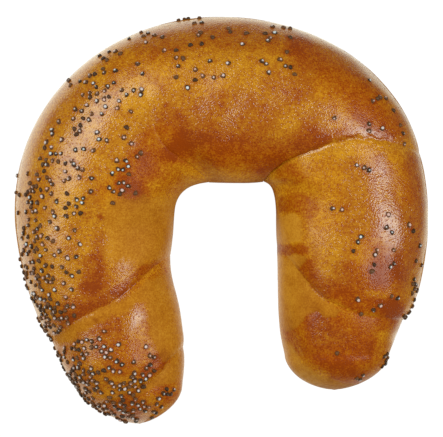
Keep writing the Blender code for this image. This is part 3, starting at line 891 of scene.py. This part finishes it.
# Pale spots, partly the seeds' paler skin and partly painted highlight, have colours between these, as a
# screen shows them. The same for seeds, and for their rims, which hold painted shade.
"""Pale spots have colours between these, as a screen shows them. The same for seeds and their rims."""
SEED_COLOURS = ((100, 64, 36), (58, 38, 24))
RIM_AND_SHADE_COLOURS = ((74, 36, 14), (136, 70, 8))
SEED_PITTING = 0.16
"""Wavelength of the tiny pits in a seed, their depth, how far they fray its spot, and how soft that is."""
SEED_PIT_DEPTH = 0.05
SPOT_FRAYED = 0.3
SPOT_SOFTNESS = 0.3
ON_RIM = (0.1, 0.4)
"""Between these values of the number that rims are known by, the seed's colour gives way to the rim's."""


class Nodes:
    """Makes the nodes of a material or of the world."""

    def __init__(self, owner, shader="Principled BSDF"):
        owner.use_nodes = True
        self.tree = owner.node_tree
        self.shader = self.tree.nodes[shader]

    def add(self, kind, settings=(), **inputs):
        """A shader node of a kind, with settings and inputs."""
        node = self.tree.nodes.new("ShaderNode" + kind)
        for key, value in dict(settings).items():
            setattr(node, key, value)
        self.feed(node, **inputs)
        return node

    def feed(self, node, **inputs):
        """Gives a node's inputs values or other nodes' outputs. Underscores in their names are spaces."""
        for key, value in inputs.items():
            self.connect(node.inputs[key.replace("_", " ")], value)

    def connect(self, socket, value):
        if isinstance(value, bpy.types.NodeSocket):
            self.tree.links.new(value, socket)
        else:
            socket.default_value = value

    def value(self, name):
        """A number that each vertex has."""
        return self.add("Attribute", {"attribute_name": name}).outputs["Fac"]

    def math(self, operation, *values):
        node = self.add("Math", {"operation": operation})
        for socket, value in zip(node.inputs, values):
            self.connect(socket, value)
        return node.outputs[0]

    def weighted(self, total, parts, weights):
        """A total with each part added by its weight."""
        for name, part in parts.items():
            total = self.math("MULTIPLY_ADD", part, weights[name], total)
        return total

    def step(self, value, low, high):
        """From 0 where value is low or less to 1 where it is high or more, or the other way round."""
        smooth = {"interpolation_type": "SMOOTHSTEP"}
        node = self.add("MapRange", smooth, Value=value, From_Min=low, From_Max=high)
        return node.outputs["Result"]

    def step_away(self, where, middle, near, far):
        """The same for how far a place is from a middle."""
        away = self.add("VectorMath", {"operation": "DISTANCE"})
        self.connect(away.inputs[0], where)
        self.connect(away.inputs[1], Vector(middle) * MM)
        return self.step(away.outputs["Value"], near * MM, far * MM)

    def place(self):
        """Where a point is in its object."""
        return self.add("TexCoord").outputs["Object"]

    def lumps(self, wavelength):
        """Random values from -0.5 to 0.5, with lumps about a wavelength apart."""
        scale = 1 / (wavelength * MM)
        node = self.add("TexNoise", Vector=self.place(), Scale=scale, Detail=1.0)
        return self.math("SUBTRACT", node.outputs["Fac"], 0.5)

    def pits(self):
        """1 in the middle of small pits, and 0 round them."""
        node = self.add("TexVoronoi", Vector=self.place(), Scale=1 / (PIT_GAP * MM))
        return self.step(node.outputs["Distance"], *PIT_EDGE)

    def mix(self, share, first, second, kind="RGBA"):
        """The first where share is 0, the second where it is 1, and a mixture between."""
        node = self.add("Mix", {"data_type": kind}, Factor=share, A=first, B=second)
        return node.outputs["Result"]

    def between(self, share, colours):
        """The same for a pair of colours as a screen shows them."""
        return self.mix(share, *map(linear_colour, colours))

    def ramp(self, value, stops):
        node = self.add("ValToRGB", Fac=value)
        elements = node.color_ramp.elements
        while len(elements) < len(stops):
            elements.new(0.5)
        for element, (position, colour) in zip(elements, stops):
            element.position = position
            element.color = linear_colour(colour)
        return node.outputs["Color"]

    def bump(self, strength, height, bumps):
        """The surface's direction with bumps of a height."""
        node = self.add("Bump", Strength=strength, Distance=height * MM, Height=bumps)
        return node.outputs["Normal"]


def linear_colour(colour):
    """What a material takes for a colour as a screen shows it, from 0 to 255 by the sRGB standard."""
    screen = np.array(colour) / 255
    linear = np.where(screen <= 0.04045, screen / 12.92, ((screen + 0.055) / 1.055) ** 2.4)
    return (*linear, 1.0)


def crust_material():
    material = bpy.data.materials.new("glazed_crust")
    nodes = Nodes(material)
    coarse, fine, grain = (nodes.lumps(wavelength) for wavelength in MOTTLING)

    # The glaze's edge wanders finely, and glaze gathered there baked darker.
    edge = nodes.math("MULTIPLY_ADD", fine, EDGE_WANDER, nodes.value("bare"))
    unglazed = nodes.step(edge, -EDGE_SOFTNESS, EDGE_SOFTNESS)
    glazed = nodes.math("SUBTRACT", 1.0, unglazed)
    gathered = nodes.math("MULTIPLY", nodes.step(edge, *GATHERED), glazed)

    # The glaze is mottled and pitted finely, and bare dough less.
    grains = {"fine": fine, "grain": grain, "pits": nodes.pits()}
    mottled = nodes.math("MULTIPLY_ADD", glazed, 1 - BARE_MOTTLED, BARE_MOTTLED)
    shade = nodes.math("MULTIPLY_ADD", nodes.weighted(0.0, grains, SHADES), mottled, nodes.value("dark"))
    # Crust next to a seed is darker: partly glaze baked round it and partly painted shade.
    patches = {"coarse": coarse, "gathered": gathered, "near_seed": nodes.value("near_seed")}
    shade = nodes.weighted(shade, patches, SHADES)
    glazed_colour = nodes.ramp(shade, GLAZED_COLOURS)
    bare_colour = nodes.ramp(shade, BARE_COLOURS)

    # A coat of baked egg over dough that is dull by itself. Its grain breaks up what it mirrors.
    bumpy = nodes.math("MULTIPLY_ADD", glazed, 1 - BARE_BUMPY, BARE_BUMPY)
    bumps = nodes.math("MULTIPLY", nodes.weighted(0.0, grains, BUMPS), bumpy)
    normal = nodes.bump(1.0, BUMP_HEIGHT, bumps)
    coat = nodes.math("MULTIPLY", glazed, nodes.value("gloss"))
    nodes.feed(
        nodes.shader,
        Base_Color=nodes.mix(unglazed, glazed_colour, bare_colour),
        Roughness=nodes.math("MULTIPLY_ADD", fine, ROUGHNESS[1], ROUGHNESS[0]),
        Specular_IOR_Level=0.05,
        Normal=normal,
        Coat_Weight=nodes.math("MAXIMUM", coat, nodes.value("sheen")),
        Coat_Roughness=0.16,
        Coat_IOR=1.7,
        Coat_Normal=normal,
    )
    return material


def seed_material():
    material = bpy.data.materials.new("poppy_seed")
    nodes = Nodes(material)
    tint, spot, rim = (nodes.value(name) for name in ("tint", "spot", "rim"))
    pits = nodes.lumps(SEED_PITTING)
    # The pale spot on a seed's top is partly its paler skin and partly a painted highlight.
    pale = nodes.step(nodes.math("MULTIPLY_ADD", pits, SPOT_FRAYED, spot), 0.0, SPOT_SOFTNESS)
    colour = nodes.mix(pale, nodes.between(tint, SEED_COLOURS), nodes.between(tint, PALE_AND_LIT_SPOT_COLOURS))
    # The rim's colour is partly baked glaze and partly painted shade, darkest next to the seed.
    rim_glaze_and_shade = nodes.between(nodes.step(rim, RIM_START, RIM_START + 1), RIM_AND_SHADE_COLOURS)
    nodes.feed(
        nodes.shader,
        Base_Color=nodes.mix(nodes.step(rim, *ON_RIM), colour, rim_glaze_and_shade),
        Roughness=0.35,
        Specular_IOR_Level=0.2,
        Normal=nodes.bump(0.5, SEED_PIT_DEPTH, pits),
    )
    return material


# The studio.

PHOTO_WIDTH = 119.8
"""What the photograph's width takes in at the height of the roll's sides, and that height."""
SIDES_HEIGHT = 15.0
PHOTO_MIDDLE = (0.05, 0.55)
"""X and Y of what is in its middle."""
LENS = 400.0
"""The camera's focal length, the width of its sensor, and how far it sees, in metres."""
SENSOR = 36.0
CLIP_END = 100

WHITE = (1, 1, 1, 1)
FLOOR_SIZE = 3000.0
FLOOR_COLOUR = (0.04, 0.04, 0.04, 1)
FLOOR_GLOW = (1.0, 0.4, 1.35)
"""How bright the floor glows: where the camera sees it, where it lights the crust, and in its reflection."""
ROOM_GLOW = (1.0, 0.61, 0.01)
"""The same for the room."""
GLOW_RISE = ((-8, -2, 0), 42, 58)
"""What the crust mirrors of the floor is a ring of glow round the roll. It starts to rise at the first
distance from a middle, and is full at the second."""
GLOW_FADE = ((-25, -5, 0), 77, 113)
"""The same for where the ring fades, which is further out on the left than on the right."""
GAP_SPOT = ((1, -27, 0), 18, 32)
"""The legs' inner sides mirror a spot between them that is as bright, and fades in the same way."""
GAP_GLOW = 0.8
"""How much more the floor lights the crust from within the ring, as between the legs."""
LIGHTING_COLOUR = (0.95, 1.0, 0.8, 1)
"""The floor's glow has this colour where it lights the crust, and the next where the crust mirrors it. The
camera sees it white."""
MIRRORED_COLOUR = (1.0, 0.97, 0.8, 1)

# Soft boxes: which way they lie from the roll in degrees, anticlockwise from +X and up, how far off, their
# width and height, and their brightness.
SOFT_BOXES = (
    ("right", -10, 45, 900, 530, 640, 5.3),
    ("left", 145, 50, 900, 760, 520, 3.75),
    ("fill", 185, 42, 900, 400, 400, 2.5),
)
LIGHT_COLOUR = (0.87, 1.0, 0.98)
"""The colour of all three."""


def place(name, data):
    """A new object in the scene."""
    placed = bpy.data.objects.new(name, data)
    bpy.context.scene.collection.objects.link(placed)
    return placed


def add_camera():
    """Looks straight down from far off, as the photograph does."""
    camera = place("camera", bpy.data.cameras.new("camera"))
    camera.data.lens = LENS
    camera.data.sensor_width = SENSOR
    camera.data.clip_end = CLIP_END
    distance = PHOTO_WIDTH * LENS / SENSOR
    camera.location = Vector((*PHOTO_MIDDLE, SIDES_HEIGHT + distance)) * MM
    bpy.context.scene.camera = camera


def add_soft_box(name, azimuth, elevation, distance, width, height, radiance):
    light = bpy.data.lights.new(name, "AREA")
    light.shape = "RECTANGLE"
    light.size = width * MM
    light.size_y = height * MM
    light.energy = radiance * pi * light.size * light.size_y
    light.color = LIGHT_COLOUR
    box = place(name, light)
    around, up = radians(azimuth), radians(elevation)
    way = Vector((cos(around) * cos(up), sin(around) * cos(up), sin(up)))
    box.location = way * distance * MM
    box.rotation_euler = way.to_track_quat("Z", "Y").to_euler()
    box.visible_camera = False


def glow_strength(nodes, seen, lighting, mirrored):
    """How bright a glow is where the camera sees it, where it lights a surface, and where it is mirrored."""
    rays = nodes.add("LightPath").outputs
    unseen = nodes.mix(rays["Is Diffuse Ray"], mirrored, lighting, "FLOAT")
    return nodes.mix(rays["Is Camera Ray"], unseen, seen, "FLOAT")


def add_floor():
    corners = np.array([(-1, -1, 0), (1, -1, 0), (1, 1, 0), (-1, 1, 0)]) * FLOOR_SIZE / 2
    floor = place("floor", mesh_from("floor", corners, [(0, 1, 2, 3)]))
    material = bpy.data.materials.new("pale_floor")
    nodes = Nodes(material)
    where = nodes.place()
    risen, faded, beyond_spot = (nodes.step_away(where, *edge) for edge in (GLOW_RISE, GLOW_FADE, GAP_SPOT))
    seen, lighting, mirrored = FLOOR_GLOW
    ring = nodes.math("MULTIPLY", risen, nodes.math("SUBTRACT", 1.0, faded))
    glow = nodes.math("MAXIMUM", ring, nodes.math("SUBTRACT", 1.0, beyond_spot))
    mirrored = nodes.math("MULTIPLY", glow, mirrored)
    within = nodes.math("SUBTRACT", 1.0, risen)
    lighting = nodes.math("MULTIPLY_ADD", within, GAP_GLOW, lighting)
    rays = nodes.add("LightPath").outputs
    colour = nodes.mix(rays["Is Diffuse Ray"], MIRRORED_COLOUR, LIGHTING_COLOUR)
    nodes.feed(
        nodes.shader,
        Base_Color=FLOOR_COLOUR,
        Roughness=0.9,
        Emission_Color=nodes.mix(rays["Is Camera Ray"], colour, WHITE),
        Emission_Strength=glow_strength(nodes, seen, lighting, mirrored),
    )
    floor.data.materials.append(material)


def add_room():
    """Light from all round, white where the camera sees it, and with little to mirror."""
    world = bpy.data.worlds.new("studio")
    nodes = Nodes(world, "Background")
    nodes.feed(nodes.shader, Color=WHITE, Strength=glow_strength(nodes, *ROOM_GLOW))
    bpy.context.scene.world = world
    bpy.context.scene.view_settings.view_transform = "Standard"


def add_piece(name, mesh, material):
    piece = place(name, mesh)
    mesh.materials.append(material)
    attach(piece, "root")
    return piece


def main():
    seeds = scattered_seeds()
    seed_middles = surface(seeds[:, 0], seeds[:, 1])
    crust = add_piece("crust", crust_mesh(seed_middles), crust_material())
    lift = low_relief(seed_middles, seeds[:, 0], seeds[:, 1])
    add_piece("poppy_seeds", seeds_mesh(seeds, lift), seed_material())
    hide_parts(NODE)
    add_floor()
    add_room()
    for soft_box in SOFT_BOXES:
        add_soft_box(*soft_box)
    add_camera()


main()
